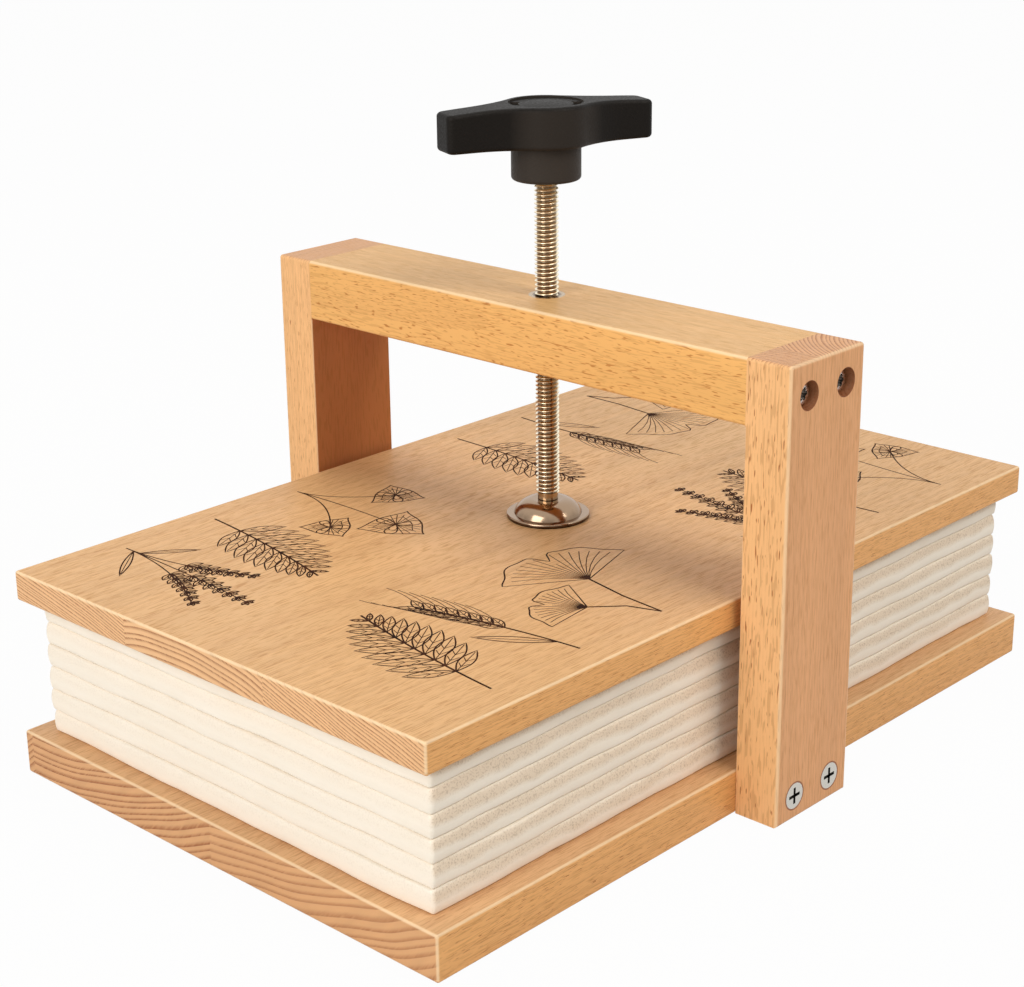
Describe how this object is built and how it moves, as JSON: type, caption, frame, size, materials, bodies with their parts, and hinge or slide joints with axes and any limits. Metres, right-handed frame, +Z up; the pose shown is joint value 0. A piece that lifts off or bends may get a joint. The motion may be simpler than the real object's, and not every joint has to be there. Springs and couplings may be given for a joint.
{
  "type": "flower press",
  "caption": "Wooden flower press: a gantry screw with a winged knob and swivel foot drives a pressing board down on stacked soft drying pads.",
  "frame": {"origin": "middle of the base board's underside, on the surface it stands on", "axes": "+X along the boards' long edges, +Y across from the front upright to the rear one, +Z up along the spindle"},
  "size_m": [0.3, 0.222, 0.2105],
  "materials": {
    "beech": "oiled, sanded",
    "foam": "open-cell drying foam",
    "bright_steel": "nickel plated, polished",
    "zinc": "bright zinc plated",
    "dark_steel": "dark, sunk in shadow",
    "black_plastic": "moulded, fine grain"
  },
  "bodies": {
    "frame": {"base_strip_rear": "beech", "base_stave_middle": "beech", "base_stave_front": "beech", "upright_front": "beech", "upright_rear": "beech", "crossbeam": "beech", "threaded_insert": "dark_steel", "beam_screws": "dark_steel", "base_screws": "zinc"},
    "foot": {"pressure_foot": "bright_steel"},
    "screw": {"spindle": "bright_steel", "knob": "black_plastic", "knob_cap": "black_plastic", "retaining_ring": "dark_steel"},
    "press_board": {"board_stave_rear": "beech", "board_stave_middle": "beech", "board_stave_front": "beech"},
    "pad_1": {"drying_pad_1": "foam"},
    "pad_2": {"drying_pad_2": "foam"},
    "pad_3": {"drying_pad_3": "foam"},
    "pad_4": {"drying_pad_4": "foam"},
    "pad_5": {"drying_pad_5": "foam"},
    "pad_6": {"drying_pad_6": "foam"}
  },
  "joints": [
    {"name": "foot_lift", "type": "slide", "parent": "frame", "child": "foot", "axis": [0, 0, 1], "range_m": [0, 0.0452]},
    {"name": "screw_turn", "type": "hinge", "parent": "foot", "child": "screw", "pos_m": [0, 0, 0.1], "axis": [0, 0, 1], "range_deg": [0, 11520]},
    {"name": "board_lift", "type": "slide", "parent": "frame", "child": "press_board", "axis": [0, 0, 1], "range_m": [0, 0.0451]},
    {"name": "pad_1_pull", "type": "slide", "parent": "frame", "child": "pad_1", "axis": [-1, 0, 0], "range_m": [0, 0.3]},
    {"name": "pad_2_pull", "type": "slide", "parent": "frame", "child": "pad_2", "axis": [-1, 0, 0], "range_m": [0, 0.3]},
    {"name": "pad_3_pull", "type": "slide", "parent": "frame", "child": "pad_3", "axis": [-1, 0, 0], "range_m": [0, 0.3]},
    {"name": "pad_4_pull", "type": "slide", "parent": "frame", "child": "pad_4", "axis": [-1, 0, 0], "range_m": [0, 0.3]},
    {"name": "pad_5_pull", "type": "slide", "parent": "frame", "child": "pad_5", "axis": [-1, 0, 0], "range_m": [0, 0.3]},
    {"name": "pad_6_pull", "type": "slide", "parent": "frame", "child": "pad_6", "axis": [-1, 0, 0], "range_m": [0, 0.3]}
  ],
  "couplings": [
    {"joint": "screw_turn", "follows": "board_lift", "rad_per_m": 4452.7},
    {"joint": "foot_lift", "follows": "board_lift", "ratio": 1}
  ]
}
